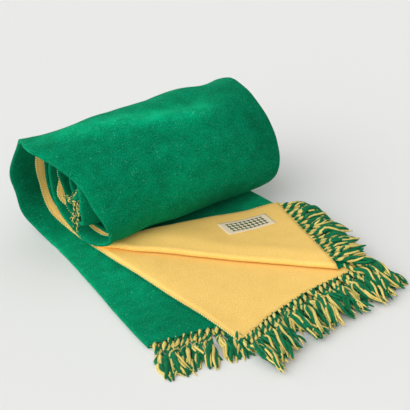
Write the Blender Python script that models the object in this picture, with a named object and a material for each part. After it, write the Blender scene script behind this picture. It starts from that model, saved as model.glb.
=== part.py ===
"""Fringed two-faced wool blanket, folded in four lengthwise and rolled up from its far end.

A short loose end is left out in front, and the front corner of its top layer is turned back.
Metres, +Z up. X runs along the roll, the loose end points to -Y and the floor is z = 0.
Layer 1 lies on top of the loose end and innermost in the roll, layer 4 lies on the floor.
"""
import math

import bmesh
import bpy

# Cloth and the pitch of its layers and turns
CLOTH = 0.003
PITCH = 0.005
LAYERS = 4
TURN_PITCH = 0.026
TURNS = 2.75
STEPS_PER_TURN = (20, 16, 12)

# Roll: an upright oval on a flattened underside, a little thicker towards +X
ROLL_Y = 0.028
HALF_WIDTH = 0.125
HALF_HEIGHT = 0.1195
SINK = 0.004
TAPER = 0.17

# Crease of the turned-back corner: its start at the selvedge, its direction and its bend
CREASE_X = -0.178
CREASE_Y = -0.023
CREASE_ANGLE = math.radians(-49.1)
CREASE_RADIUS = 0.007
SETTLE = 0.06
LIFT = 0.014
LIFT_ALONG = 0.12
LIFT_SPREAD = 0.06

# Edges of the loose end: share of its length, then the x of each edge
TAIL_EDGES = (
    # share, fold, selvedge 2, selvedge 1, back
    (0.00, -0.225, -0.181, -0.181, 0.176),
    (0.14, -0.229, -0.178, -0.178, 0.178),
    (0.40, -0.240, -0.170, -0.167, 0.178),
    (0.73, -0.256, -0.158, -0.153, 0.174),
    (1.00, -0.266, -0.148, -0.140, 0.168),
)

# Edges of the roll: angle turned, then the x of each edge
ROLL_EDGES = (
    # degrees, fold, selvedge 2, selvedge 1, back
    (0, -0.225, -0.181, -0.181, 0.176),
    (25, -0.231, -0.186, -0.172, 0.180),
    (60, -0.246, -0.199, -0.184, 0.186),
    (90, -0.248, -0.201, -0.186, 0.190),
    (125, -0.242, -0.201, -0.186, 0.190),
    (165, -0.260, -0.203, -0.186, 0.185),
    (190, -0.270, -0.203, -0.186, 0.180),
    (215, -0.248, -0.201, -0.185, 0.181),
    (250, -0.229, -0.198, -0.183, 0.190),
    (280, -0.214, -0.194, -0.180, 0.199),
    (305, -0.197, -0.185, -0.176, 0.201),
    (335, -0.188, -0.180, -0.172, 0.190),
    (400, -0.188, -0.178, -0.168, 0.172),
    (720, -0.185, -0.174, -0.165, 0.170),
    (1080, -0.180, -0.172, -0.165, 0.165),
)

# End line of each layer in the loose end, as x and y
END_LINES = {
    1: ((-0.200, -0.396), (0.100, -0.335), (0.180, -0.327)),
    2: ((-0.148, -0.3755), (-0.068, -0.355), (0.0115, -0.345), (0.180, -0.352)),
    3: ((-0.264, -0.297), (-0.156, -0.323), (0.180, -0.344)),
}
END_LINES[4] = END_LINES[3]

# Grid of the cloth: share of the loose end at each row, and columns of each stretch
TAIL_SHARES = (1.0, 0.86, 0.72, 0.58, 0.45, 0.33, 0.25, 0.19, 0.15, 0.11)
FLAP_COLUMNS = 4
BEND_COLUMNS = 4
REST_COLUMNS = 3
LAYER_COLUMNS = 4
WIDE_FOLD_COLUMNS = 4
TIGHT_FOLD_COLUMNS = 3
NARROWEST = 0.005

# Fringe: backing strip and tassels, flatter in the core
FRINGE_GAP = 0.0005
STRIP = 0.006
TASSEL_PITCH = 0.0157
TASSEL_WIDTH = 0.0065
TASSEL_ROWS = (
    # share of its length, width, thickness
    (0.14, 0.0065, 0.0050),
    (0.42, 0.0060, 0.0060),
    (0.72, 0.0068, 0.0060),
    (1.00, 0.0036, 0.0030),
)
CORE_ROWS = (
    (0.25, 0.0065, 0.0034),
    (0.52, 0.0068, 0.0034),
    (0.77, 0.0068, 0.0034),
    (1.00, 0.0040, 0.0026),
)
FLAP_TASSEL = 0.067
UPPER_TASSEL = 0.090
FLOOR_TASSEL = 0.076
CORE_TASSEL = 0.066

# Height of a tassel's middle along its way past the cloth, where it does not lie on the floor
TASSEL_HEIGHTS = {
    1: ((0.0, 0.0165), (0.018, 0.0167), (0.044, 0.0167), (0.070, 0.0120), (0.097, 0.0100)),
    2: ((0.0, 0.0115), (0.007, 0.0115), (0.018, 0.0101), (0.097, 0.0098)),
    3: ((0.0, 0.0065), (0.007, 0.0065), (0.017, 0.0)),
    4: ((0.0, 0.0), (0.097, 0.0)),
}

# Sideways lean of the tassels by x: of each layer in front, of the flap and in the core
LEANS = {
    1: ((-0.20, 0.0), (0.18, 0.0)),
    2: ((-0.15, -0.34), (-0.06, -0.10), (0.06, 0.0), (0.18, 0.0)),
    3: ((-0.265, -0.58), (-0.20, -0.36), (-0.12, -0.20), (0.02, 0.0), (0.18, 0.0)),
}
LEANS[4] = LEANS[3]
FLAP_LEAN = ((-0.14, 0.32), (0.10, 0.46))
CORE_LEAN = ((-0.18, -0.55), (-0.08, 0.0), (0.16, 0.0))
DROOP = 0.80
BACK_CLEAR = 0.200

GREEN = (0.0, 0.235, 0.105, 1.0)
YELLOW = (0.86, 0.53, 0.13, 1.0)


def look_up(table, at, column=1):
    """Value of a table's column at a place along its first column, straight between rows."""
    for low, high in zip(table[:-1], table[1:]):
        if at <= high[0]:
            share = max(0.0, (at - low[0]) / (high[0] - low[0]))
            return low[column] + share * (high[column] - low[column])
    return table[-1][column]


def smooth(share):
    """Ease from 0 to 1."""
    share = min(1.0, max(0.0, share))
    return share * share * (3 - 2 * share)


def level(layer):
    """Height of a layer's middle above the underside of the stack."""
    return CLOTH / 2 + (LAYERS - layer) * PITCH


def roll_point(x, height, turns):
    """Point of the roll: the oval's parallel curve, further in with each turn."""
    angle = turns * math.tau
    depth = height + TURN_PITCH * turns
    grow = 1 + TAPER * x
    wide = HALF_WIDTH * grow
    high = HALF_HEIGHT * grow
    reach = math.hypot(wide * math.sin(angle), high * math.cos(angle))
    y = wide ** 2 * math.sin(angle) / reach - depth * math.sin(angle)
    z = high - SINK - high ** 2 * math.cos(angle) / reach + depth * math.cos(angle)
    return x, ROLL_Y + y, max(z, depth)


def turned_back(x, y, rise):
    """Where a point of layer 1 goes, rise above its middle, once its corner is turned back."""
    along_x, along_y = math.cos(CREASE_ANGLE), math.sin(CREASE_ANGLE)
    out_x, out_y = along_y, -along_x
    past = (x - CREASE_X) * out_x + (y - CREASE_Y) * out_y + CREASE_RADIUS
    if past <= 0:
        return x, y, level(1) + rise
    along = (x - CREASE_X) * along_x + (y - CREASE_Y) * along_y
    bend = min(math.pi, past / CREASE_RADIUS)
    back = max(0.0, past - math.pi * CREASE_RADIUS)
    sideways = (CREASE_RADIUS - rise) * math.sin(bend) - back - CREASE_RADIUS
    settled = (2 * CREASE_RADIUS - PITCH) * smooth(back / SETTLE)
    lift = LIFT * smooth(back / SETTLE) * math.exp(-((along - LIFT_ALONG) / LIFT_SPREAD) ** 2)
    up = CREASE_RADIUS * (1 - math.cos(bend)) + rise * math.cos(bend) - settled + lift
    return (
        CREASE_X + along * along_x + sideways * out_x,
        CREASE_Y + along * along_y + sideways * out_y,
        level(1) + up,
    )


def tail_y(share, end):
    """Y at a share of the loose end whose layer ends at y = end."""
    return ROLL_Y + share * (end - ROLL_Y)


def top_columns(share, selvedge, stop):
    """X of the columns of layer 1: the flap, its bend and the rest up to the back fold."""
    out_x, out_y = math.sin(CREASE_ANGLE), -math.cos(CREASE_ANGLE)

    def past(x):
        y = tail_y(share, look_up(END_LINES[1], x))
        return (x - CREASE_X) * out_x + (y - CREASE_Y) * out_y + CREASE_RADIUS

    flap = past(selvedge)
    slope = (past(selvedge + NARROWEST) - flap) / NARROWEST
    bend = math.pi * CREASE_RADIUS
    if flap > bend + FLAP_COLUMNS * NARROWEST:
        marks = [flap + (bend - flap) * i / FLAP_COLUMNS for i in range(FLAP_COLUMNS)]
        marks += [bend * (1 - i / BEND_COLUMNS) for i in range(BEND_COLUMNS + 1)]
        columns = [selvedge + (mark - flap) / slope for mark in marks]
    else:
        wide = max(NARROWEST, -flap / slope / (FLAP_COLUMNS + BEND_COLUMNS))
        columns = [selvedge + wide * i for i in range(FLAP_COLUMNS + BEND_COLUMNS + 1)]
    last = columns[-1]
    return columns + [last + (stop - last) * (i + 1) / REST_COLUMNS for i in range(REST_COLUMNS)]


def straight(start, stop, layer, rise):
    """Section points across a layer as x, height and the y of its end."""
    xs = [start + (stop - start) * i / LAYER_COLUMNS for i in range(LAYER_COLUMNS + 1)]
    return [(x, level(layer) + rise, look_up(END_LINES[layer], x)) for x in xs]


def fold(centre, start, stop, side, columns, rise):
    """Section points round the fold from one layer to another, without its ends.

    Side is +1 for a fold that bulges towards +X, and rise is measured outwards.
    """
    middle = (level(start) + level(stop)) / 2
    radius = (level(start) - level(stop)) / 2
    outer = math.copysign(abs(radius) + rise, radius)
    ends = look_up(END_LINES[start], centre), look_up(END_LINES[stop], centre)
    points = []
    for i in range(1, columns):
        share = i / columns
        x = centre + side * abs(outer) * math.sin(math.pi * share)
        height = middle + outer * math.cos(math.pi * share)
        points.append((x, height, ends[0] + share * (ends[1] - ends[0])))
    return points


def section(share, edges, rise):
    """Points across the stack, from selvedge 1 round its three folds to selvedge 2.

    Rise is how far they lie off the cloth's middle on the side that is up in layer 1.
    """
    folded, second, first, back = edges
    back_centre = back - (level(1) - level(4)) / 2 - CLOTH / 2
    fold_centre = folded + PITCH / 2 + CLOTH / 2
    columns = top_columns(share, first, back_centre)
    points = [(x, level(1) + rise, look_up(END_LINES[1], x)) for x in columns]
    points += fold(back_centre, 1, 4, 1, WIDE_FOLD_COLUMNS, rise)
    points += straight(back_centre, fold_centre, 4, -rise)
    points += fold(fold_centre, 4, 3, -1, TIGHT_FOLD_COLUMNS, rise)
    points += straight(fold_centre, back_centre, 3, rise)
    points += fold(back_centre, 3, 2, 1, TIGHT_FOLD_COLUMNS, -rise)
    points += straight(back_centre, second, 2, -rise)
    return points


def cloth_face(rise):
    """Rows of points of one face of the blanket, from its loose end to the inside of the roll."""
    rows = []
    for share in TAIL_SHARES:
        edges = [look_up(TAIL_EDGES, share, i) for i in range(1, 5)]
        row = []
        for index, (x, height, end) in enumerate(section(share, edges, rise)):
            y = tail_y(share, end)
            on_top = index <= FLAP_COLUMNS + BEND_COLUMNS + REST_COLUMNS
            row.append(turned_back(x, y, rise) if on_top else (x, y, height))
        rows.append(row)
    turns = [0.0]
    for whole, steps in enumerate(STEPS_PER_TURN):
        turns += [whole + (i + 1) / steps for i in range(steps) if whole + (i + 1) / steps < TURNS]
    for turn in turns + [TURNS]:
        edges = [look_up(ROLL_EDGES, turn * 360, i) for i in range(1, 5)]
        rows.append([roll_point(x, height, turn) for x, height, end in section(0.0, edges, rise)])
    return rows


def material(name, colour):
    """Wool of one plain colour."""
    wool = bpy.data.materials.new(name)
    wool.use_nodes = True
    shader = wool.node_tree.nodes["Principled BSDF"]
    shader.inputs["Base Color"].default_value = colour
    shader.inputs["Roughness"].default_value = 0.95
    shader.inputs["Metallic"].default_value = 0.0
    return wool


def add_object(name, bm, colour, collection):
    """Object of a finished bmesh with a wool material of its own."""
    bmesh.ops.recalc_face_normals(bm, faces=bm.faces[:])
    mesh = bpy.data.meshes.new(name)
    bm.to_mesh(mesh)
    bm.free()
    mesh.materials.append(material(name + "_wool", colour))
    thing = bpy.data.objects.new(name, mesh)
    collection.objects.link(thing)
    return thing


def add_blanket(collection):
    """The one piece of cloth: a thick flat sheet bent into its folds and turns."""
    faces = {1: cloth_face(CLOTH / 2), -1: cloth_face(-CLOTH / 2)}
    along = len(faces[1]) - 1
    across = len(faces[1][0]) - 1
    bm = bmesh.new()
    bmesh.ops.create_grid(bm, x_segments=across, y_segments=along, size=0.5)
    grown = bmesh.ops.extrude_face_region(bm, geom=bm.faces[:])["geom"]
    upper = [item for item in grown if isinstance(item, bmesh.types.BMVert)]
    bmesh.ops.translate(bm, verts=upper, vec=(0, 0, 1))
    for vert in bm.verts:
        column = round((vert.co.x + 0.5) * across)
        row = round((vert.co.y + 0.5) * along)
        vert.co = faces[1 if vert.co.z > 0.5 else -1][row][column]
    return add_object("blanket", bm, GREEN, collection)


def add_fringe(name, start, stop, phase, length, spot, collection):
    """A backing strip from start to stop with a tassel every pitch, bent into place by spot.

    The fringe is modelled flat as u along the cloth's end, way past it and rise above it.
    """
    inset = TASSEL_WIDTH / 2 + FRINGE_GAP
    first = math.ceil((start + inset - phase) / TASSEL_PITCH)
    last = math.floor((stop - inset - phase) / TASSEL_PITCH)
    centres = [phase + i * TASSEL_PITCH for i in range(first, last + 1)]
    cuts = [start]
    for centre in centres:
        cuts += [centre - TASSEL_WIDTH / 2, centre + TASSEL_WIDTH / 2]
    cuts.append(stop)
    columns = len(cuts) - 1
    strip_end = FRINGE_GAP + STRIP
    bm = bmesh.new()
    bmesh.ops.create_grid(bm, x_segments=columns, y_segments=1, size=0.5)
    for vert in bm.verts:
        column = round((vert.co.x + 0.5) * columns)
        vert.co = (cuts[column], FRINGE_GAP if vert.co.y < 0 else strip_end, -CLOTH / 2)
    grown = bmesh.ops.extrude_face_region(bm, geom=bm.faces[:])["geom"]
    upper = [item for item in grown if isinstance(item, bmesh.types.BMVert)]
    bmesh.ops.translate(bm, verts=upper, vec=(0, 0, CLOTH))
    tips = []
    for face in bm.faces:
        middle = face.calc_center_median()
        on_side = abs(middle.y - strip_end) < FRINGE_GAP
        if on_side and min(abs(middle.x - centre) for centre in centres) < TASSEL_WIDTH / 4:
            tips.append(face)
    for share, width, thick in CORE_ROWS if length == CORE_TASSEL else TASSEL_ROWS:
        tips = bmesh.ops.extrude_discrete_faces(bm, faces=tips)["faces"]
        for tip in tips:
            middle = tip.calc_center_median()
            for vert in tip.verts:
                u = middle.x + math.copysign(width / 2, vert.co.x - middle.x)
                way = strip_end + share * length
                vert.co = (u, way, math.copysign(thick / 2, vert.co.z))
    for vert in bm.verts:
        vert.co = spot(*vert.co)
    return add_object(name, bm, YELLOW, collection)


def front_spot(layer, end_line):
    """Bender for the fringe at the loose end of a layer that lies flat."""
    def spot(u, way, rise):
        x = u + look_up(LEANS[layer], u) * max(0.0, way - FRINGE_GAP - STRIP)
        y = look_up(end_line, u) - way
        return x, y, max(abs(rise), look_up(TASSEL_HEIGHTS[layer], way)) + rise
    return spot


def flap_spot(end_line):
    """Bender for the flap's fringe: turned back with it, then drooping to the floor."""
    def spot(u, way, rise):
        x = u + look_up(FLAP_LEAN, u) * max(0.0, way - FRINGE_GAP - STRIP)
        y = look_up(end_line, u) - way
        x, y, z = turned_back(x, y, rise)
        sunk = z + rise - DROOP * max(0.0, x - BACK_CLEAR)
        return x, y, max(abs(rise), sunk) - rise
    return spot


def core_spot(layer):
    """Bender for the fringe at the inner end of a layer, along the inside of the roll."""
    depth = (level(1) + level(4)) / 2 + TURN_PITCH * TURNS
    tighten = TURN_PITCH / math.tau

    def spot(u, way, rise):
        x = u + look_up(CORE_LEAN, u) * max(0.0, way - FRINGE_GAP - STRIP)
        radius = (HALF_WIDTH + HALF_HEIGHT) / 2 * (1 + TAPER * u) - depth
        angle = (radius - math.sqrt(radius ** 2 - 2 * tighten * way)) / tighten
        return roll_point(x, level(layer) + rise, TURNS + angle / math.tau)
    return spot


def add_fringes(collection):
    """One fringe for each layer at each end, and one for the corner turned back."""
    folded, second, first, back = [look_up(TAIL_EDGES, 1.0, i) for i in range(1, 5)]
    inset = (level(1) - level(4)) / 2 + CLOTH / 2
    fold_x = folded + PITCH / 2 + CLOTH / 2
    back_x = back - inset
    half = TASSEL_PITCH / 2
    turned = top_columns(1.0, first, back_x)
    flap_stop = turned[FLAP_COLUMNS]
    rest_start = turned[FLAP_COLUMNS + BEND_COLUMNS]
    top_line = [(x, look_up(END_LINES[1], x)) for x in turned]
    add_fringe("fringe_flap", first, flap_stop, 0.0, FLAP_TASSEL, flap_spot(top_line), collection)
    add_fringe("fringe_top", rest_start, back_x, half, UPPER_TASSEL, front_spot(1, top_line), collection)
    layers = (
        # name, layer, start, phase and length of its tassels
        ("fringe_second", 2, second, 0.0, UPPER_TASSEL),
        ("fringe_third", 3, fold_x, half, FLOOR_TASSEL),
        ("fringe_bottom", 4, fold_x, 0.0, FLOOR_TASSEL),
    )
    for name, layer, start, phase, length in layers:
        line = [(x, end) for x, height, end in straight(start, back_x, layer, 0.0)]
        add_fringe(name, start, back_x, phase, length, front_spot(layer, line), collection)
    folded, second, first, back = [look_up(ROLL_EDGES, TURNS * 360, i) for i in range(1, 5)]
    starts = (first, second, folded + PITCH, folded + PITCH)
    for layer, start in enumerate(starts, 1):
        name = "fringe_core_" + str(layer)
        add_fringe(name, start, back - inset, 0.0, CORE_TASSEL, core_spot(layer), collection)


def build():
    """Clear the scene and build the blanket with its fringes."""
    for old in list(bpy.data.objects):
        bpy.data.objects.remove(old, do_unlink=True)
    collection = bpy.data.collections.new("basotho_blanket")
    bpy.context.scene.collection.children.link(collection)
    add_blanket(collection)
    add_fringes(collection)


build()
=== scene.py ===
"""Two-faced wool blanket with twisted tassels, folded in four and rolled up from its far end.

Metres, +Z up. X runs along the roll, the loose end points to -Y and the floor is z = 0.
"""
import math
import random

import bmesh
import bpy
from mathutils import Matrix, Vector, noise


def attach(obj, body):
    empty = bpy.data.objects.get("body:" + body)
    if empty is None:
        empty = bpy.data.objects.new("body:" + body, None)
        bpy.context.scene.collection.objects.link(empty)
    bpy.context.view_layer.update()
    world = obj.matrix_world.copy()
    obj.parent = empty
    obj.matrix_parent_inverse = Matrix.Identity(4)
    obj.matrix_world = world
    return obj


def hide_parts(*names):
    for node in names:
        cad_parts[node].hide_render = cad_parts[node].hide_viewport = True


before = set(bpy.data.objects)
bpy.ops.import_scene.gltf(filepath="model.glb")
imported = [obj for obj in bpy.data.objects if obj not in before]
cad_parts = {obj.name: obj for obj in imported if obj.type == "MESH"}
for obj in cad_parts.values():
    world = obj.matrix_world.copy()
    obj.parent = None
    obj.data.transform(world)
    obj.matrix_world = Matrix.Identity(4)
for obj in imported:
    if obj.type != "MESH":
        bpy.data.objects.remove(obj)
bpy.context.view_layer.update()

# Camera: a short telephoto lens 0.76 m above the floor, to the front left of the loose end and
# looking down on it, with no shift and no depth of field.
SENSOR = 36.0
FOCAL_SHARE = 850 / 410  # focal length over the width of the picture
CAMERA_PLACE = (-0.82470704, -1.13385192, 0.76)
CAMERA_TILT = math.radians(62.5)
CAMERA_TURN = math.radians(-38.6)
camera_data = bpy.data.cameras.new("camera")
camera_data.sensor_fit = "HORIZONTAL"
camera_data.sensor_width = SENSOR
camera_data.lens = SENSOR * FOCAL_SHARE
camera = bpy.data.objects.new("camera", camera_data)
camera.location = CAMERA_PLACE
camera.rotation_euler = (CAMERA_TILT, 0.0, CAMERA_TURN)
bpy.context.scene.collection.objects.link(camera)
bpy.context.scene.camera = camera


# Floor and light: a seamless pale grey sheet of studio paper in a pale room, which fills the
# shadows. Broad window light comes from the left, with a weaker light from behind on the left
# and a low fill along that side.
FLOOR_SIZE = 24.0


def linear(code):
    """Linear colour of an sRGB hex code."""
    values = [int(code[i:i + 2], 16) / 255 for i in (1, 3, 5)]
    return [v / 12.92 if v <= 0.04045 else ((v + 0.055) / 1.055) ** 2.4 for v in values] + [1.0]


def node(tree, kind, settings=None, **links):
    """Add a node, set its properties and sockets, and link the sockets given as outputs."""
    added = tree.nodes.new("ShaderNode" + kind)
    for name, value in (settings or {}).items():
        if isinstance(name, str) and hasattr(added, name):
            setattr(added, name, value)
        else:
            added.inputs[name].default_value = value
    for name, output in links.items():
        tree.links.new(output, added.inputs[name.replace("_", " ")])
    return added


def new_material(name, values):
    """Material, its node tree and its shader, whose inputs take the values given."""
    material = bpy.data.materials.new(name)
    material.use_nodes = True
    shader = material.node_tree.nodes["Principled BSDF"]
    for socket, value in values.items():
        shader.inputs[socket].default_value = value
    return material, material.node_tree, shader


bpy.ops.object.select_all(action="DESELECT")
bpy.ops.mesh.primitive_plane_add(size=FLOOR_SIZE, location=(0.0, 0.0, 0.0))
floor = bpy.context.object
floor.name = "studio_floor"
# Uncoated paper: matt, with no highlight, so that only the soft shadows show on it.
paper = new_material("matt_background_paper", {
    "Base Color": linear("#E4E5E4"), "Roughness": 0.9, "Specular IOR Level": 0.1,
})[0]
floor.data.materials.append(paper)

ROOM_SIDES = 0.46
ROOM_CEILING = 0.72
room = bpy.data.worlds.new("pale_room")
room.use_nodes = True
sky = room.node_tree
toward = node(sky, "TexCoord").outputs["Generated"]
rise = node(sky, "SeparateXYZ", Vector=toward).outputs["Z"]
glow = node(sky, "MapRange", {"To Min": ROOM_SIDES, "To Max": ROOM_CEILING}, Value=rise)
sky.nodes["Background"].inputs["Color"].default_value = linear("#F7F6F3")
sky.links.new(glow.outputs["Result"], sky.nodes["Background"].inputs["Strength"])
bpy.context.scene.world = room
bpy.context.scene.view_settings.view_transform = "Standard"

LIGHTS = (
    # name, place, what it points at, width in radians, strength
    ("window_light", (-2.0, -0.50, 1.4), (0.0, 0.0, 0.0), 1.15, 2.0),
    ("back_light", (-1.25, 1.25, 0.80), (-0.1, 0.0, 0.15), 0.9, 0.80),
    ("side_fill", (-1.7, -0.30, 0.40), (-0.2, 0.0, 0.10), 0.9, 0.42),
)
for name, place, target, width, strength in LIGHTS:
    light_data = bpy.data.lights.new(name, "SUN")
    light_data.energy = strength
    light_data.angle = width
    light = bpy.data.objects.new(name, light_data)
    light.location = place
    light.rotation_euler = (Vector(target) - Vector(place)).to_track_quat("-Z", "Y").to_euler()
    bpy.context.scene.collection.objects.link(light)


# Blanket cloth: one piece of milled and brushed wool double cloth, green on one face and yellow
# on the other. It is folded in four lengthwise, rolled up from its far end round a loose core,
# and the front corner of its top layer is turned back.
CLOTH = 0.003
PITCH = 0.005  # from one folded layer to the next
LAYERS = 4
TURN_PITCH = 0.026  # from one turn of the roll to the next
TURNS = 2.75
STEPS_PER_TURN = (96, 56, 44)
TAIL_ROWS = 50

# The roll: where its middle is, its oval at x = 0, how much of that is pressed flat on the floor
# and how much it grows with each metre of x.
ROLL_Y = 0.028
HALF_WIDTH = 0.125
HALF_HEIGHT = 0.1195
SINK = 0.004
TAPER = 0.17
SWELL_FADE = 0.6  # how fast the swells below die away, by the turn

# The turned-back corner: a point of its crease and the way that runs, the radius of the bend,
# how far past it the flap settles, the height of its puff and how far that reaches, and the
# height of its lift, where along the crease that is and how far it spreads.
CREASE_X = -0.178
CREASE_Y = -0.023
CREASE_ANGLE = math.radians(-49.1)
CREASE_RADIUS = 0.0040
SETTLE = 0.06
PUFF = 0.005
PUFF_OVER = 0.035
LIFT = 0.006
LIFT_ALONG = 0.12
LIFT_SPREAD = 0.06

TAIL_EDGES = (
    # share of the loose end, then the x of the fold, selvedge 2, selvedge 1 and the back folds
    (0.00, -0.225, -0.181, -0.181, 0.176),
    (0.14, -0.229, -0.178, -0.178, 0.178),
    (0.40, -0.240, -0.170, -0.167, 0.178),
    (0.73, -0.256, -0.163, -0.159, 0.174),
    (1.00, -0.266, -0.157, -0.150, 0.168),
)
ROLL_EDGES = (
    # degrees turned, then the x of the same four edges
    (0, -0.225, -0.181, -0.181, 0.176),
    (15, -0.222, -0.180, -0.176, 0.178),
    (25, -0.226, -0.185, -0.172, 0.180),
    (35, -0.230, -0.193, -0.177, 0.182),
    (48, -0.240, -0.198, -0.183, 0.184),
    (60, -0.242, -0.198, -0.186, 0.186),
    (76, -0.245, -0.200, -0.187, 0.188),
    (94, -0.249, -0.203, -0.187, 0.190),
    (115, -0.240, -0.204, -0.190, 0.190),
    (130, -0.238, -0.204, -0.190, 0.189),
    (155, -0.250, -0.203, -0.188, 0.186),
    (175, -0.266, -0.203, -0.186, 0.182),
    (193, -0.262, -0.202, -0.186, 0.180),
    (203, -0.249, -0.200, -0.184, 0.180),
    (217, -0.235, -0.196, -0.181, 0.181),
    (230, -0.221, -0.193, -0.178, 0.184),
    (245, -0.214, -0.190, -0.175, 0.188),
    (258, -0.208, -0.185, -0.171, 0.190),
    (269, -0.202, -0.181, -0.167, 0.193),
    (281, -0.194, -0.175, -0.163, 0.195),
    (289, -0.186, -0.171, -0.160, 0.196),
    (304, -0.176, -0.160, -0.160, 0.196),
    (318, -0.181, -0.163, -0.160, 0.193),
    (335, -0.190, -0.170, -0.162, 0.188),
    (350, -0.192, -0.166, -0.165, 0.182),
    (370, -0.188, -0.166, -0.170, 0.177),
    (388, -0.188, -0.166, -0.178, 0.174),
    (397, -0.188, -0.175, -0.176, 0.173),
    (410, -0.188, -0.183, -0.171, 0.172),
    (424, -0.188, -0.183, -0.169, 0.172),
    (441, -0.188, -0.172, -0.173, 0.172),
    (460, -0.190, -0.168, -0.178, 0.172),
    (560, -0.196, -0.170, -0.180, 0.171),
    (600, -0.204, -0.176, -0.184, 0.171),
    (635, -0.208, -0.180, -0.186, 0.171),
    (690, -0.196, -0.170, -0.178, 0.170),
    (725, -0.178, -0.156, -0.162, 0.170),
    (760, -0.162, -0.144, -0.150, 0.168),
    (870, -0.162, -0.144, -0.150, 0.168),
    (930, -0.184, -0.174, -0.178, 0.167),
    (990, -0.203, -0.199, -0.197, 0.166),
)
EDGE_EASE = (0.05, 4.0)  # rounding of the two tables above, in the units of each
END_LINES = {
    # layer: x and y along its end
    1: ((-0.200, -0.396), (0.100, -0.335), (0.180, -0.327)),
    2: ((-0.148, -0.3755), (-0.068, -0.355), (0.0115, -0.345), (0.180, -0.352)),
    3: ((-0.264, -0.297), (-0.156, -0.323), (0.180, -0.344)),
}
END_LINES[4] = END_LINES[3]

FLAP_COLUMNS = 30
BEND_COLUMNS = 10
REST_COLUMNS = 22
OUTER_COLUMNS = 52
INNER_COLUMNS = 26
WIDE_FOLD_COLUMNS = 8
TIGHT_FOLD_COLUMNS = 5
NARROWEST = 0.0008  # column of the top layer, which is wider in the roll
WIDER_IN_ROLL = 0.0052
WIDENING_TURNS = 0.25

SWELLS = (
    # soft hollows and humps of the roll: x, degrees, height, half-length and half-angle
    (-0.180, 172, 0.003, 0.045, 12),
    (-0.100, 190, 0.010, 0.050, 10),
    (-0.020, 202, 0.013, 0.050, 9),
    (0.050, 210, 0.010, 0.045, 9),
    (0.085, 158, 0.006, 0.040, 16),
    (0.060, 186, -0.010, 0.070, 12),
    (-0.060, 224, -0.006, 0.110, 11),
    (0.120, 225, -0.004, 0.050, 20),
    (0.130, 158, -0.007, 0.045, 22),
    (-0.185, 158, -0.005, 0.035, 14),
    (-0.200, 120, 0.003, 0.040, 30),
    (-0.225, 76, -0.006, 0.030, 11),
    (-0.235, 50, 0.004, 0.030, 10),
    (-0.150, 306, 0.026, 0.085, 28),
    (0.020, 303, 0.014, 0.080, 28),
    (0.165, 298, 0.020, 0.070, 28),
    (-0.020, 316, 0.015, 0.350, 24),
)
PAINTED_LIGHT_AND_SHADE = (
    # painted light and shade on the wool, paler where light falls and deeper where shade falls:
    # x, degrees (below 0 on the loose end, -90 at its end), amount, half-length and half-angle
    # painted highlight along the lit crest of the roll's top
    (-0.190, 176, 0.60, 0.050, 12),
    (-0.100, 185, 0.66, 0.060, 12),
    (-0.030, 194, 0.78, 0.050, 12),
    (0.040, 203, 0.58, 0.048, 11),
    # painted shade over the right end of the roll, away from the light
    (0.145, 186, -0.22, 0.055, 20),
    (0.155, 228, -0.30, 0.052, 24),
    (0.165, 264, -0.28, 0.042, 28),
    (-0.020, 270, 0.16, 0.080, 18),
    # painted shade on the roll's underside where it meets the loose end
    (0.060, 308, -0.50, 0.080, 17),
    # painted shade inside the open left end
    (-0.226, 90, -0.40, 0.042, 52),
    # painted light on the left of the loose end, which faces the light
    (-0.190, 0, 0.50, 0.050, 26),
    (-0.205, -42, 0.28, 0.042, 24),
    # painted light where the roll's shadow falls on the loose end
    (0.155, -18, 0.45, 0.045, 15),
    (-0.185, -82, -0.15, 0.040, 20),
)
LIP_REACH = 0.018  # how far in from the open edge the lip is felt
LIP_TURNS = (
    # degrees, how far the open edge of the roll turns in
    (0, 0.000),
    (30, -0.004),
    (90, -0.003),
    (140, -0.002),
    (170, 0.001),
    (205, 0.003),
    (235, 0.006),
    (268, 0.006),
    (290, 0.001),
    (310, -0.005),
    (338, -0.005),
    (352, 0.000),
    (370, 0.001),
    (1080, 0.001),
)
# The inner turns at the left end: how much tighter they are, how far they sag in y and z, from
# which turn and over how many, and left of which x and over how much of it.
TIGHTER = 0.010
CORE_SHIFT = (0.007, -0.006)
TIGHTER_FROM = 0.70
TIGHTER_OVER = 0.35
TIGHTER_END = -0.02
TIGHTER_FADE = 0.10
# The waves of the cloth: their seed, the length and height of each, the share of them left on
# the floor, the height over which they grow to full, and that over which they may lift it.
WAVE_SEED = 5
BROAD_WAVE = (0.100, 0.0050)
SMALL_WAVE = (0.038, 0.0014)
WAVE_ON_FLOOR = 0.35
WAVE_FULL = 0.05
WAVE_LIFTS = 0.02


def look_up(table, at, column=1):
    """Value of a table's column at a place along its first column, straight between rows."""
    for low, high in zip(table[:-1], table[1:]):
        if at <= high[0]:
            share = max(0.0, (at - low[0]) / (high[0] - low[0]))
            return low[column] + share * (high[column] - low[column])
    return table[-1][column]


def eased(table, at, column, ease):
    """The same value with the corners between rows rounded off."""
    return sum(look_up(table, at + ease * step, column) for step in (-2, -1, 0, 1, 2)) / 5


def smooth(share):
    """Ease from 0 to 1."""
    share = min(1.0, max(0.0, share))
    return share * share * (3 - 2 * share)


def level(layer):
    """Height of a layer's middle above the underside of the stack."""
    return CLOTH / 2 + (LAYERS - layer) * PITCH


def swell(x, turns):
    """How far the roll stands out at a place of its outside, less and less further in."""
    total = 0.0
    for centre, degrees, height, half_length, half_angle in SWELLS:
        apart = (turns * 360 - degrees + 180) % 360 - 180
        total += height * math.exp(-((x - centre) / half_length) ** 2 - (apart / half_angle) ** 2)
    return total * math.exp(-SWELL_FADE * turns)


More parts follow.
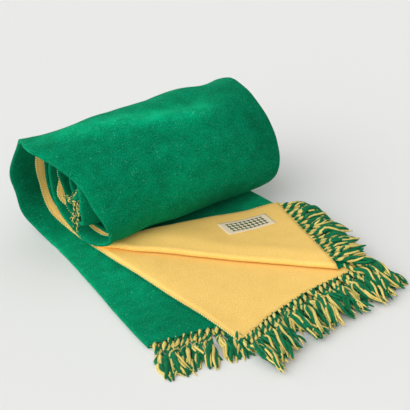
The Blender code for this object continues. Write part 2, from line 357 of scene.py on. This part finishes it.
def roll_point(x, height, turns):
    """Point of the roll: the oval's parallel curve, further in with each turn.

    At the left end the turns inside the first are wound tighter and sag away from it.
    """
    angle = turns * math.tau
    depth = height + TURN_PITCH * turns
    loose = smooth((turns - TIGHTER_FROM) / TIGHTER_OVER) * smooth((TIGHTER_END - x) / TIGHTER_FADE)
    grow = 1 + TAPER * x
    wide = HALF_WIDTH * grow
    high = HALF_HEIGHT * grow
    reach = math.hypot(wide * math.sin(angle), high * math.cos(angle))
    out = depth - swell(x, turns) + TIGHTER * loose
    y = wide ** 2 * math.sin(angle) / reach - out * math.sin(angle)
    z = high - SINK - high ** 2 * math.cos(angle) / reach + out * math.cos(angle)
    return x, ROLL_Y + y + CORE_SHIFT[0] * loose, max(z + CORE_SHIFT[1] * loose, depth)


def turned_back(x, y, rise):
    """Where a point of layer 1 goes, rise above its middle, once its corner is turned back."""
    along_x, along_y = math.cos(CREASE_ANGLE), math.sin(CREASE_ANGLE)
    out_x, out_y = along_y, -along_x
    past = (x - CREASE_X) * out_x + (y - CREASE_Y) * out_y + CREASE_RADIUS
    if past <= 0:
        return x, y, level(1) + rise
    along = (x - CREASE_X) * along_x + (y - CREASE_Y) * along_y
    bend = min(math.pi, past / CREASE_RADIUS)
    back = max(0.0, past - math.pi * CREASE_RADIUS)
    sideways = (CREASE_RADIUS - rise) * math.sin(bend) - back - CREASE_RADIUS
    settled = (2 * CREASE_RADIUS - PITCH) * smooth(back / SETTLE)
    lift = LIFT * smooth(back / SETTLE) * math.exp(-((along - LIFT_ALONG) / LIFT_SPREAD) ** 2)
    puff = PUFF * smooth(back / PUFF_OVER) * math.exp(-(back / SETTLE) ** 2)
    up = CREASE_RADIUS * (1 - math.cos(bend)) + rise * math.cos(bend) - settled + lift + puff
    return (
        CREASE_X + along * along_x + sideways * out_x,
        CREASE_Y + along * along_y + sideways * out_y,
        level(1) + up,
    )


def tail_y(share, end):
    """Y at a share of the loose end whose layer ends at y = end."""
    return ROLL_Y + share * (end - ROLL_Y)


def top_columns(share, selvedge, stop, narrow):
    """X of the columns of layer 1: the flap, its bend and the rest up to the back fold."""
    out_x, out_y = math.sin(CREASE_ANGLE), -math.cos(CREASE_ANGLE)

    def past(x):
        y = tail_y(share, look_up(END_LINES[1], x))
        return (x - CREASE_X) * out_x + (y - CREASE_Y) * out_y + CREASE_RADIUS

    flap = past(selvedge)
    slope = (past(selvedge + PITCH) - flap) / PITCH
    bend = math.pi * CREASE_RADIUS
    marks = [flap + (bend - flap) * i / FLAP_COLUMNS for i in range(FLAP_COLUMNS)]
    marks += [bend * (1 - i / BEND_COLUMNS) for i in range(BEND_COLUMNS + 1)]
    columns = [selvedge]
    for mark in marks[1:]:
        columns.append(max(selvedge + (mark - flap) / slope, columns[-1] + narrow))
    last = columns[-1]
    return columns + [last + (stop - last) * (i + 1) / REST_COLUMNS for i in range(REST_COLUMNS)]


def straight(start, stop, layer, rise, columns):
    """Section points across a layer as x, height and the y of its end."""
    xs = [start + (stop - start) * i / columns for i in range(columns + 1)]
    return [(x, level(layer) + rise, look_up(END_LINES[layer], x)) for x in xs]


def fold(centre, start, stop, side, columns, rise):
    """Section points round the fold from one layer to another, without its ends."""
    middle = (level(start) + level(stop)) / 2
    radius = (level(start) - level(stop)) / 2
    outer = math.copysign(abs(radius) + rise, radius)
    ends = look_up(END_LINES[start], centre), look_up(END_LINES[stop], centre)
    points = []
    for i in range(1, columns):
        share = i / columns
        x = centre + side * abs(outer) * math.sin(math.pi * share)
        height = middle + outer * math.cos(math.pi * share)
        points.append((x, height, ends[0] + share * (ends[1] - ends[0])))
    return points


def section(share, edges, rise, narrow):
    """Points across the stack, from selvedge 1 round its three folds to selvedge 2."""
    folded, second, first, back = edges
    back_centre = back - (level(1) - level(4)) / 2 - CLOTH / 2
    fold_centre = folded + PITCH / 2 + CLOTH / 2
    columns = top_columns(share, first, back_centre, narrow)
    points = [(x, level(1) + rise, look_up(END_LINES[1], x)) for x in columns]
    points += fold(back_centre, 1, 4, 1, WIDE_FOLD_COLUMNS, rise)
    points += straight(back_centre, fold_centre, 4, -rise, OUTER_COLUMNS)
    points += fold(fold_centre, 4, 3, -1, TIGHT_FOLD_COLUMNS, rise)
    points += straight(fold_centre, back_centre, 3, rise, INNER_COLUMNS)
    points += fold(back_centre, 3, 2, 1, TIGHT_FOLD_COLUMNS, -rise)
    points += straight(back_centre, second, 2, -rise, INNER_COLUMNS)
    return points


noise.seed_set(WAVE_SEED)  # unseeded, the waves would differ from run to run


def soften(x, y, z):
    """Soft waves of the whole pile, which leave what lies on the floor where it is."""
    place = Vector((x, y, z))
    broad = noise.noise_vector(place / BROAD_WAVE[0]) * BROAD_WAVE[1]
    small = noise.noise_vector(place / SMALL_WAVE[0]) * SMALL_WAVE[1]
    grown = WAVE_ON_FLOOR + (1 - WAVE_ON_FLOOR) * smooth(z / WAVE_FULL)
    moved = (broad + small) * grown
    return x + moved.x, y + moved.y, max(0.0, z + moved.z * smooth(z / WAVE_LIFTS))


def nap_at(x, degrees):
    """Painted light and shade on the wool's colour: over 1 where light is painted, under 1 for
    shade.
    """
    total = 1.0
    for centre, middle, amount, half_length, half_angle in PAINTED_LIGHT_AND_SHADE:
        away = ((x - centre) / half_length) ** 2 + ((degrees - middle) / half_angle) ** 2
        total += amount * math.exp(-away)
    return total


tail_shares = [1 - step / TAIL_ROWS for step in range(TAIL_ROWS)]
roll_turns = [0.0]
for whole, steps in enumerate(STEPS_PER_TURN):
    marks = [whole + (i + 1) / steps for i in range(steps)]
    roll_turns += [mark for mark in marks if mark < TURNS]
roll_turns.append(TURNS)
row_degrees = [-90 * share for share in tail_shares] + [360 * turn for turn in roll_turns]


def cloth_face(rise):
    """Rows of points of one face of the blanket, from its loose end to the inside of the roll."""
    rows = []
    for share in tail_shares:
        edges = [eased(TAIL_EDGES, share, i, EDGE_EASE[0]) for i in range(1, 5)]
        row = []
        for index, (x, height, end) in enumerate(section(share, edges, rise, NARROWEST)):
            y = tail_y(share, end)
            on_top = index <= FLAP_COLUMNS + BEND_COLUMNS + REST_COLUMNS
            row.append(turned_back(x, y, rise) if on_top else (x, y, height))
        rows.append(row)
    for turn in roll_turns:
        edges = [eased(ROLL_EDGES, turn * 360, i, EDGE_EASE[1]) for i in range(1, 5)]
        narrow = NARROWEST + (WIDER_IN_ROLL - NARROWEST) * smooth(turn / WIDENING_TURNS)
        points = section(0.0, edges, rise, narrow)
        lip = look_up(LIP_TURNS, turn * 360)
        row = []
        for x, height, end in points:
            turned_in = lip * smooth(1 - (x - edges[0]) / LIP_REACH)
            row.append(roll_point(x, height + turned_in, turn))
        rows.append(row)
    return [[soften(*point) for point in row] for row in rows]


def closed_sheet(faces):
    """Mesh of a sheet given as rows of points of its two faces, and the place of each vertex."""
    rows, columns = len(faces[1]) - 1, len(faces[1][0]) - 1
    bm = bmesh.new()
    bmesh.ops.create_grid(bm, x_segments=columns, y_segments=rows, size=0.5)
    grown = bmesh.ops.extrude_face_region(bm, geom=bm.faces[:])["geom"]
    upper = [item for item in grown if isinstance(item, bmesh.types.BMVert)]
    bmesh.ops.translate(bm, verts=upper, vec=(0, 0, 1))
    places = {}
    for vert in bm.verts:
        column = round((vert.co.x + 0.5) * columns)
        row = round((vert.co.y + 0.5) * rows)
        side = 1 if vert.co.z > 0.5 else -1
        places[vert] = (row, column, side)
        vert.co = faces[side][row][column]
    bmesh.ops.recalc_face_normals(bm, faces=bm.faces[:])
    return bm, places


def add_piece(name, bm, materials):
    """Object of a finished bmesh at the origin, smooth all over, that rides with the blanket."""
    mesh = bpy.data.meshes.new(name)
    bm.to_mesh(mesh)
    bm.free()
    for finish in materials:
        mesh.materials.append(finish)
    mesh.shade_smooth()
    piece = bpy.data.objects.new(name, mesh)
    bpy.context.scene.collection.objects.link(piece)
    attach(piece, "root")
    return piece


# Patterns of the wool, as marks to the metre, and how far brushing draws them out.
MOTTLES = 40.0
TUFTS = 520.0
HAIRS = 330.0
BRUSHING = 0.55
MOTTLE_SHARE = 0.35
MIX_FACTOR, MIX_A, MIX_B, MIX_RESULT = 0, 6, 7, 2  # colour sockets of a Mix node


def milled_wool(name, light, deep, glow, lint, fuzz):
    """Milled and brushed wool: a matt felted face with a short nap that catches light at its edge.

    The mottling is the uneven raising of the nap, 25 mm across. The grain is its tufts, 1 mm across
    in the cloth but made 2 mm here to show, and longer the way the cloth is brushed. The lint is
    the stray pale hairs on it. A painted light and shade factor then makes it paler where lit,
    deeper in shade.
    """
    wool, tree, shader = new_material(name, {
        "Roughness": 0.95, "Specular IOR Level": 0.05, "Sheen Weight": 0.20,
        "Sheen Roughness": 0.40, "Sheen Tint": linear(glow),
    })
    along = node(tree, "UVMap", {"uv_map": "cloth"}).outputs["UV"]
    brushed = node(tree, "Mapping", {"Scale": (1.0, BRUSHING, 1.0)}, Vector=along).outputs["Vector"]
    mottle = node(tree, "TexNoise", {"Scale": MOTTLES, "Detail": 3.0}, Vector=along).outputs["Fac"]
    grain = node(tree, "TexNoise", {"Scale": TUFTS, "Detail": 3.0, "Roughness": 0.65},
                 Vector=brushed).outputs["Fac"]
    uneven = node(tree, "Math", {"operation": "MULTIPLY_ADD", 1: MOTTLE_SHARE})
    tree.links.new(mottle, uneven.inputs[0])
    tree.links.new(grain, uneven.inputs[2])
    ramp = node(tree, "ValToRGB", None, Fac=uneven.outputs["Value"])
    ramp.color_ramp.elements[0].position = 0.52
    ramp.color_ramp.elements[0].color = linear(deep)
    ramp.color_ramp.elements[1].position = 0.84
    ramp.color_ramp.elements[1].color = linear(light)
    hairs = node(tree, "TexNoise", {"Scale": HAIRS, "Detail": 2.0, "Distortion": 1.5},
                 Vector=brushed).outputs["Fac"]
    sparse = node(tree, "MapRange", {"From Min": 0.62, "From Max": 0.76, "To Max": fuzz},
                  Value=hairs).outputs["Result"]
    dusted = node(tree, "Mix", {"data_type": "RGBA", MIX_B: linear(lint)})
    tree.links.new(sparse, dusted.inputs[MIX_FACTOR])
    tree.links.new(ramp.outputs["Color"], dusted.inputs[MIX_A])
    # Painted light and shade: a factor per point that scales the colour, paler where lit and deeper
    # in shade.
    painted_factor = node(tree, "Attribute", {"attribute_name": "painted_light_shade"}).outputs["Fac"]
    with_painted_light = node(tree, "VectorMath", {"operation": "SCALE"}, Scale=painted_factor)
    tree.links.new(dusted.outputs[MIX_RESULT], with_painted_light.inputs[0])
    nap = node(tree, "TexNoise", {"Scale": TUFTS, "Detail": 4.0, "Roughness": 0.7},
               Vector=brushed).outputs["Fac"]
    felt = node(tree, "Bump", {"Strength": 0.75, "Distance": 0.0016}, Height=nap)
    tree.links.new(with_painted_light.outputs["Vector"], shader.inputs["Base Color"])
    tree.links.new(felt.outputs["Normal"], shader.inputs["Normal"])
    return wool


green_wool = milled_wool("green_milled_wool", "#009468", "#006441", "#30D8A0", "#58CBA6", 0.40)
yellow_wool = milled_wool("yellow_milled_wool", "#FDD37A", "#F3C76C", "#FFE494", "#FFE6B0", 0.3)

# The cloth's UV map is in metres, across from selvedge 1 and along from the loose end.
faces = {1: cloth_face(CLOTH / 2), -1: cloth_face(-CLOTH / 2)}
rows_along = len(faces[1]) - 1
columns_across = len(faces[1][0]) - 1
middle_column = columns_across // 2
run = [0.0]
for row in range(rows_along):
    step = Vector(faces[1][row + 1][middle_column]) - Vector(faces[1][row][middle_column])
    run.append(run[-1] + step.length)
bm, places = closed_sheet(faces)
across = []
for row in faces[1]:
    widths = [0.0]
    for start, stop in zip(row[:-1], row[1:]):
        widths.append(widths[-1] + (Vector(stop) - Vector(start)).length)
    across.append(widths)
uv = bm.loops.layers.uv.new("cloth")
for face in bm.faces:
    corners = [places[loop.vert] for loop in face.loops]
    face.material_index = 1 if all(side < 0 for row, column, side in corners) else 0
    for loop, (row, column, side) in zip(face.loops, corners):
        loop[uv].uv = (across[row][column] + side * CLOTH / 2, run[row])
bm.verts.index_update()
# Painted light and shade on every point of the cloth, kept as a point attribute for the wool.
painted_levels = [1.0] * len(bm.verts)
for vert, (row, column, side) in places.items():
    painted_levels[vert.index] = nap_at(faces[side][row][column][0], row_degrees[row])
blanket = add_piece("blanket_cloth", bm, (green_wool, yellow_wool))
blanket.data.attributes.new("painted_light_shade", "FLOAT", "POINT").data.foreach_set("value", painted_levels)
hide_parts("blanket")

# Tassels: the warp ends of both ends of the cloth, green and yellow plies twisted together close
# to the cloth and opening into pointed locks. They are part of the cloth and lie where they fall.
FRINGE_START = -0.002  # from just inside the cloth's end
TASSEL_PITCH = 0.0118
TWIST_LENGTH = 0.016  # one turn of the twisted root
ROOT_LENGTH = 0.024
OPENS_FROM = 0.6  # share of the root where it starts to open
LOOSER = 8.0  # how much longer a turn is past the root
CORE_FINE = 0.50  # size of the tassels inside the roll, beside those of the loose end
CORE_SEED = 20
STRAND_RINGS = 18
ROOT_RINGS = 1.25  # above 1, the rings stand closer together in the twisted root
STRAND_SIDES = 4
STRAND_POLE = 0.2  # how far a strand's closed end stands out, as a share of its last step
CURL = 0.0013
CURL_LENGTH = 0.040
WANDER = 4.0  # radians that a strand wanders through over its length
FLATTENED = 0.9  # height of a tassel as a share of its width
OFF_FLOOR = 0.0002
PROBE = 0.001  # step for the slope of the surface that a tassel lies on

# How tassels differ: step to the next, length, sideways lean, bow and hump. The first few of a
# row lean towards the others.
STEP_VARIES = (-0.0015, 0.0015)
LENGTH_VARIES = (0.87, 1.08)
LEAN_SPREAD = 0.17
BOW_SPREAD = 0.006
HUMP_VARIES = (0.0, 0.007)
CORNER_TASSELS = 3
# How the strands of a tassel differ: length, thickness, how far they wander and spread.
STRAND_LENGTH_VARIES = (0.84, 1.0)
THICKNESS_VARIES = (0.85, 1.15)
STRAY_VARIES = (0.2, 0.8)
SPREAD_SPREAD = 0.05

STRANDS = (
    # angle round the tassel in its twisted root and once loose, in degrees, material, thickness
    (0, 0, 0, 1.34),
    (40, 60, 0, 1.14),
    (180, 130, 1, 0.98),
    (215, 190, 1, 0.90),
    (85, 245, 0, 1.26),
    (255, 310, 1, 0.80),
)
STRAND_ROWS = (
    # share of its length, radius of the strand, distance from the tassel's middle
    (0.00, 0.0017, 0.0012),
    (0.08, 0.0021, 0.0024),
    (0.26, 0.0022, 0.0025),
    (0.45, 0.0025, 0.0042),
    (0.70, 0.0026, 0.0054),
    (0.90, 0.0022, 0.0046),
    (1.00, 0.0010, 0.0036),
)
FLAP_TASSEL = 0.073
UPPER_TASSEL = 0.096
FLOOR_TASSEL = 0.082
CORE_TASSEL = 0.072
TASSEL_HEIGHTS = {
    # layer: way past the cloth, height of the tassel's middle
    1: ((0.0, 0.0165), (0.018, 0.0167), (0.044, 0.0167), (0.070, 0.0120), (0.097, 0.0100)),
    2: ((0.0, 0.0115), (0.007, 0.0115), (0.018, 0.0101), (0.097, 0.0098)),
    3: ((0.0, 0.0065), (0.007, 0.0065), (0.017, 0.0)),
    4: ((0.0, 0.0015), (0.097, 0.0)),
}
LEANS = {
    # layer: x, sideways lean
    1: ((-0.20, 0.0), (0.18, 0.0)),
    2: ((-0.15, -0.34), (-0.06, -0.10), (0.06, 0.0), (0.18, 0.0)),
    3: ((-0.265, -0.58), (-0.20, -0.36), (-0.12, -0.20), (0.02, 0.0), (0.18, 0.0)),
}
LEANS[4] = LEANS[3]
FLAP_LEAN = ((-0.14, 0.32), (0.10, 0.46))
CORE_LEAN = ((-0.20, -0.30), (-0.08, 0.0), (0.16, 0.0))
# The end of the core fringe that hangs out of the roll: from which x and over how much, and the
# way it hangs.
SPILL_FROM = -0.178
SPILL_OVER = 0.010
SPILL_WAY = (-0.16, 0.10, -0.97)
DROOP = 0.80  # fall of the flap's tassels for each metre past the cloth under them
BACK_CLEAR = 0.200
FIBRES = 600.0
DRAWN_OUT = 0.12


def tassel_wool(name, light, deep, glow):
    """Loosely spun wool yarn: matt, with fibres drawn out along it and a soft pale edge.

    The fibres are 1.7 mm wide here, far coarser than wool's own, so that they show.
    """
    wool, tree, shader = new_material(name, {
        "Roughness": 0.9, "Specular IOR Level": 0.2, "Sheen Weight": 0.35,
        "Sheen Roughness": 0.5, "Sheen Tint": linear(glow),
    })
    along = node(tree, "UVMap", {"uv_map": "cloth"}).outputs["UV"]
    drawn = node(tree, "Mapping", {"Scale": (1.0, DRAWN_OUT, 1.0)}, Vector=along).outputs["Vector"]
    fibre = node(tree, "TexNoise", {"Scale": FIBRES, "Detail": 3.0}, Vector=drawn).outputs["Fac"]
    ramp = node(tree, "ValToRGB", None, Fac=fibre)
    ramp.color_ramp.elements[0].position = 0.30
    ramp.color_ramp.elements[0].color = linear(deep)
    ramp.color_ramp.elements[1].position = 0.70
    ramp.color_ramp.elements[1].color = linear(light)
    felt = node(tree, "Bump", {"Strength": 0.6, "Distance": 0.0008}, Height=fibre)
    tree.links.new(ramp.outputs["Color"], shader.inputs["Base Color"])
    tree.links.new(felt.outputs["Normal"], shader.inputs["Normal"])
    return wool


green_yarn = tassel_wool("green_wool_yarn", "#0A8050", "#063F27", "#40C892")
yellow_yarn = tassel_wool("yellow_wool_yarn", "#F0DC88", "#B8A24A", "#FBEFB2")


def front_spot(layer, end_line):
    """Bender for the fringe at the loose end of a layer that lies flat."""
    def spot(u, way):
        x = u + look_up(LEANS[layer], u) * max(0.0, way)
        return Vector((x, look_up(end_line, u) - way, look_up(TASSEL_HEIGHTS[layer], way)))
    return spot


def flap_spot(end_line):
    """Bender for the flap's fringe: turned back with it, then drooping to the floor."""
    def spot(u, way):
        x = u + look_up(FLAP_LEAN, u) * max(0.0, way)
        x, y, z = turned_back(x, look_up(end_line, u) - way, 0.0)
        return Vector((x, y, z - DROOP * max(0.0, x - BACK_CLEAR)))
    return spot


def core_spot(layer):
    """Bender for the fringe at a layer's inner end.

    It runs on along the inside of the roll, and at the open left end it spills down out of it.
    """
    depth = (level(1) + level(4)) / 2 + TURN_PITCH * TURNS
    tighten = TURN_PITCH / math.tau

    def spot(u, way):
        x = u + look_up(CORE_LEAN, u) * max(0.0, way)
        radius = (HALF_WIDTH + HALF_HEIGHT) / 2 * (1 + TAPER * u) - depth
        angle = (radius - math.sqrt(radius ** 2 - 2 * tighten * way)) / tighten
        inside = Vector(roll_point(x, level(layer), TURNS + angle / math.tau))
        spilled = Vector(roll_point(u, level(layer), TURNS)) + Vector(SPILL_WAY) * way
        return inside.lerp(spilled, smooth((SPILL_FROM - u) / SPILL_OVER))
    return spot


def add_strand(bm, path, radii, finish, uv):
    """A closed lock of yarn: rings round a path, with a pole at each end."""
    rings = []
    distances = [0.0]
    for start, stop in zip(path[:-1], path[1:]):
        distances.append(distances[-1] + (stop - start).length)
    for index, (middle, radius) in enumerate(zip(path, radii)):
        ahead = path[min(index + 1, len(path) - 1)] - path[max(index - 1, 0)]
        side = ahead.cross(Vector((0, 0, 1))).normalized()
        up = side.cross(ahead).normalized()
        ring = []
        for corner in range(STRAND_SIDES):
            angle = math.tau * corner / STRAND_SIDES
            spoke = math.cos(angle) * side + math.sin(angle) * up
            ring.append(bm.verts.new(middle + radius * spoke))
        rings.append(ring)
    poles = [bm.verts.new(path[0] - (path[1] - path[0]) * STRAND_POLE)]
    tip = path[-1] + (path[-1] - path[-2]) * STRAND_POLE
    tip.z = max(tip.z, radii[-1])
    poles.append(bm.verts.new(tip))
    around = 2 * math.pi * max(radii) / STRAND_SIDES
    for index in range(len(rings) - 1):
        for corner in range(STRAND_SIDES):
            other = (corner + 1) % STRAND_SIDES
            low, high = rings[index], rings[index + 1]
            face = bm.faces.new((low[corner], low[other], high[other], high[corner]))
            face.material_index = finish
            marks = ((corner, index), (corner + 1, index),
                     (corner + 1, index + 1), (corner, index + 1))
            for loop, (turn, step) in zip(face.loops, marks):
                loop[uv].uv = (around * turn + path[0].x, distances[step] + path[0].y)
    for pole, ring in zip(poles, (rings[0], rings[-1])):
        for corner in range(STRAND_SIDES):
            other = (corner + 1) % STRAND_SIDES
            pair = (ring[corner], ring[other])
            face = bm.faces.new((*(reversed(pair) if ring is rings[0] else pair), pole))
            face.material_index = finish
            for loop in face.loops:
                loop[uv].uv = (path[0].x, path[0].y)


def add_fringe(name, start, stop, phase, length, spot, seed, fine=1.0):
    """A row of tassels along one end of the cloth, each of six strands, as one piece."""
    draw = random.Random(seed)
    bm = bmesh.new()
    uv = bm.loops.layers.uv.new("cloth")
    first = math.ceil((start + TASSEL_PITCH / 4 - phase) / TASSEL_PITCH)
    last = math.floor((stop - TASSEL_PITCH / 4 - phase) / TASSEL_PITCH)
    for number in range(first, last + 1):
        middle = phase + number * TASSEL_PITCH + draw.uniform(*STEP_VARIES)
        reach = length * draw.uniform(*LENGTH_VARIES)
        turn = draw.uniform(0, math.tau)
        lean = draw.gauss(0, LEAN_SPREAD) * fine ** 2
        if number < first + CORNER_TASSELS:
            lean = abs(lean)
        bow = draw.gauss(0, BOW_SPREAD) * fine ** 2
        hump = draw.uniform(*HUMP_VARIES) * fine
        for angle, open_angle, finish, thick in STRANDS:
            own = reach * draw.uniform(*STRAND_LENGTH_VARIES)
            full = thick * draw.uniform(*THICKNESS_VARIES)
            wander = draw.uniform(0, math.tau)
            stray = draw.uniform(*STRAY_VARIES)
            spread = draw.gauss(0, SPREAD_SPREAD) * fine ** 2
            path = []
            radii = []
            for ring in range(STRAND_RINGS):
                share = (ring / (STRAND_RINGS - 1)) ** ROOT_RINGS
                way = FRINGE_START + share * own
                loose = smooth((way - ROOT_LENGTH * OPENS_FROM) / ROOT_LENGTH)
                radius = fine * look_up(STRAND_ROWS, share, 1) * (1 + (full - 1) * loose)
                off = fine * look_up(STRAND_ROWS, share, 2)
                looser = 1 + (LOOSER - 1) * fine ** 4
                whole = min(way, ROOT_LENGTH) + max(0.0, way - ROOT_LENGTH) / looser
                twist = turn + math.tau * whole / (TWIST_LENGTH * fine)
                twist += math.radians(angle + (open_angle - angle) * loose)
                twist += loose * stray * math.sin(wander + share * WANDER)
                shift = lean * max(0.0, way) + bow * math.sin(math.pi * share) * loose
                shift += spread * loose * (way - ROOT_LENGTH)
                shift += CURL * fine ** 2 * loose * math.sin(wander + math.tau * way / CURL_LENGTH)
                here = spot(middle + shift, way)
                side = (spot(middle + shift + PROBE, way) - here).normalized()
                ahead = (spot(middle + shift, way + PROBE) - here).normalized()
                up = side.cross(ahead)
                if up.z < 0:
                    up = -up
                point = here + off * (math.cos(twist) * side + FLATTENED * math.sin(twist) * up)
                point = Vector(soften(*point))
                point.z += hump * math.sin(math.pi * share) * loose
                point.z = max(point.z, radius + OFF_FLOOR)
                path.append(point)
                radii.append(radius)
            add_strand(bm, path, radii, finish, uv)
    bmesh.ops.recalc_face_normals(bm, faces=bm.faces[:])
    fringe = add_piece(name.replace("fringe", "tassels"), bm, (green_yarn, yellow_yarn))
    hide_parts(name)
    return fringe


folded, second, first, back = [look_up(TAIL_EDGES, 1.0, i) for i in range(1, 5)]
inset = (level(1) - level(4)) / 2 + CLOTH / 2
fold_x = folded + PITCH / 2 + CLOTH / 2
back_x = back - inset
turned = top_columns(1.0, first, back_x, NARROWEST)
flap_stop = turned[FLAP_COLUMNS]
rest_start = turned[FLAP_COLUMNS + BEND_COLUMNS]
half = TASSEL_PITCH / 2
ROWS = (
    # node, start, stop, phase, length, bender
    ("fringe_flap", first, flap_stop, 0.0, FLAP_TASSEL, flap_spot(END_LINES[1])),
    ("fringe_top", rest_start, back_x, half, UPPER_TASSEL, front_spot(1, END_LINES[1])),
    ("fringe_second", second, back_x, 0.0, UPPER_TASSEL, front_spot(2, END_LINES[2])),
    ("fringe_third", fold_x, back_x, half, FLOOR_TASSEL, front_spot(3, END_LINES[3])),
    ("fringe_bottom", fold_x, back_x, 0.0, FLOOR_TASSEL, front_spot(4, END_LINES[4])),
)
fringes = [add_fringe(*row, seed) for seed, row in enumerate(ROWS)]
folded, second, first, back = [look_up(ROLL_EDGES, TURNS * 360, i) for i in range(1, 5)]
starts = (first, second, folded + PITCH, folded + PITCH)
for layer, start in enumerate(starts, 1):
    row = ("fringe_core_" + str(layer), start, back - inset, 0.0, CORE_TASSEL, core_spot(layer))
    fringes.append(add_fringe(*row, CORE_SEED + layer, CORE_FINE))

# Selvedge stitches: pale yellow wool yarn whipped over both long edges of the cloth, one short
# loop about every 5 mm, pulled down tight on the yellow face.
STITCH_PITCH = 0.0047
STITCH_RADIUS = 0.0011
STITCH_LENGTH = 0.0048
STITCH_SIDES = 5
STITCH_RINGS = ((-1.0, 0.3), (-0.6, 0.9), (0.0, 1.0), (0.6, 0.9), (1.0, 0.3))
STITCH_OVERHANG = 0.0012
STITCH_PROUD = 0.3  # rise of a stitch off the cloth and drop of its ends, in its own radius
STITCH_DROP = 0.6
SLANT_VARIES = (0.1, 0.6)
SPACING_VARIES = (0.9, 1.1)


def add_stitch(bm, place, along, inward, up, slant):
    """One loop of yarn lying over the edge of the cloth, as a short closed lock."""
    reach = (inward + along * slant).normalized()
    side = reach.cross(up).normalized()
    rings = []
    for share, size in STITCH_RINGS:
        middle = place + reach * share * STITCH_LENGTH / 2
        middle -= up * abs(share) * STITCH_RADIUS * STITCH_DROP
        ring = []
        for corner in range(STITCH_SIDES):
            angle = math.tau * corner / STITCH_SIDES
            spoke = math.cos(angle) * side + math.sin(angle) * up
            ring.append(bm.verts.new(middle + spoke * size * STITCH_RADIUS))
        rings.append(ring)
    for low, high in zip(rings[:-1], rings[1:]):
        for corner in range(STITCH_SIDES):
            other = (corner + 1) % STITCH_SIDES
            bm.faces.new((low[corner], low[other], high[other], high[corner]))
    bm.faces.new(rings[0][::-1])
    bm.faces.new(rings[-1])


def add_stitches(name, column, neighbour, seed):
    """The stitches of one selvedge, evenly spaced along a column of the cloth's two faces."""
    draw = random.Random(seed)
    bm = bmesh.new()
    uv = bm.loops.layers.uv.new("cloth")
    left = 0.0
    for row in range(rows_along):
        green, ahead = Vector(faces[1][row][column]), Vector(faces[1][row + 1][column])
        yellow = Vector(faces[-1][row][column])
        inner = Vector(faces[-1][row][neighbour])
        length = (ahead - green).length
        while left < length:
            along = (ahead - green).normalized()
            up = (yellow - green).normalized()
            inward = (inner - yellow).normalized()
            place = yellow + along * left + up * STITCH_RADIUS * STITCH_PROUD
            place += inward * (STITCH_LENGTH / 2 - STITCH_OVERHANG)
            add_stitch(bm, place, along, inward, up, draw.uniform(*SLANT_VARIES))
            left += STITCH_PITCH * draw.uniform(*SPACING_VARIES)
        left -= length
    for face in bm.faces:
        for loop in face.loops:
            loop[uv].uv = loop.vert.co.xy
    bmesh.ops.recalc_face_normals(bm, faces=bm.faces[:])
    stitches = add_piece(name, bm, (stitch_yarn,))
    return stitches


stitch_yarn = tassel_wool("pale_stitching_yarn", "#F0DC94", "#D6BE6E", "#FBEFC0")
SELVEDGES = (
    # piece, column of the cloth at its edge, one further in, seed
    ("stitches_selvedge_1", 0, 3, 31),
    ("stitches_selvedge_2", columns_across, columns_across - 1, 32),
)
stitches = [add_stitches(*selvedge) for selvedge in SELVEDGES]

# Patch: a small woven cotton patch sewn flat on the yellow face of the turned-back corner, cream
# with a plain band of dark green checks.
PATCH_MIDDLE = (-0.107, -0.288)
PATCH_LENGTH = 0.098
PATCH_WIDTH = 0.042
PATCH_TILT = math.radians(3.5)
PATCH_CLOTH = 0.0008
PATCH_UNDERSIDE = 0.0001  # off the wool below
PATCH_COLUMNS = 24
PATCH_ROWS = 12
CHECK = 0.0060
CHECK_TURN = math.radians(45)
BAND_LENGTH = 0.074
BAND_WIDTH = 0.028


def patch_spot(row, column):
    """How far along the patch and across it a point is from its middle."""
    return (column / PATCH_COLUMNS - 0.5) * PATCH_LENGTH, (row / PATCH_ROWS - 0.5) * PATCH_WIDTH


def patch_face(rise):
    """Rows of points of one face of the patch, which follows the cloth under it."""
    rows = []
    for row in range(PATCH_ROWS + 1):
        points = []
        for column in range(PATCH_COLUMNS + 1):
            long, wide = patch_spot(row, column)
            x = PATCH_MIDDLE[0] + wide * math.cos(PATCH_TILT) + long * math.sin(PATCH_TILT)
            y = PATCH_MIDDLE[1] + wide * math.sin(PATCH_TILT) - long * math.cos(PATCH_TILT)
            points.append(soften(*turned_back(x, y, -CLOTH / 2 - rise)))
        rows.append(points)
    return rows


# Plain woven cotton: matt and smooth beside the wool, with its checks standing on their points.
cotton, tree, cotton_shader = new_material("woven_cotton", {
    "Roughness": 0.85, "Specular IOR Level": 0.2,
})
along = node(tree, "UVMap", {"uv_map": "cloth"}).outputs["UV"]
slanted = node(tree, "Mapping", {"Rotation": (0.0, 0.0, CHECK_TURN)}, Vector=along)
checks = node(tree, "TexChecker", {"Scale": 1 / CHECK}, Vector=slanted.outputs["Vector"])
split = node(tree, "SeparateXYZ", Vector=along)
masks = [checks.outputs["Fac"]]
for axis, size in (("X", BAND_LENGTH), ("Y", BAND_WIDTH)):
    away = node(tree, "Math", {"operation": "ABSOLUTE"}, Value=split.outputs[axis])
    inside = node(tree, "Math", {"operation": "LESS_THAN", 1: size / 2},
                  Value=away.outputs["Value"])
    both = node(tree, "Math", {"operation": "MULTIPLY"}, Value=masks[-1])
    tree.links.new(inside.outputs["Value"], both.inputs[1])
    masks.append(both.outputs["Value"])
woven = node(tree, "Mix", {
    "data_type": "RGBA", MIX_A: linear("#E8D6B8"), MIX_B: linear("#2C5A40"),
})
tree.links.new(masks[-1], woven.inputs[MIX_FACTOR])
tree.links.new(woven.outputs[MIX_RESULT], cotton_shader.inputs["Base Color"])

bm, places = closed_sheet({1: patch_face(PATCH_CLOTH), -1: patch_face(PATCH_UNDERSIDE)})
uv = bm.loops.layers.uv.new("cloth")
for face in bm.faces:
    for loop in face.loops:
        row, column, side = places[loop.vert]
        loop[uv].uv = patch_spot(row, column)
patch = add_piece("woven_patch", bm, (cotton,))
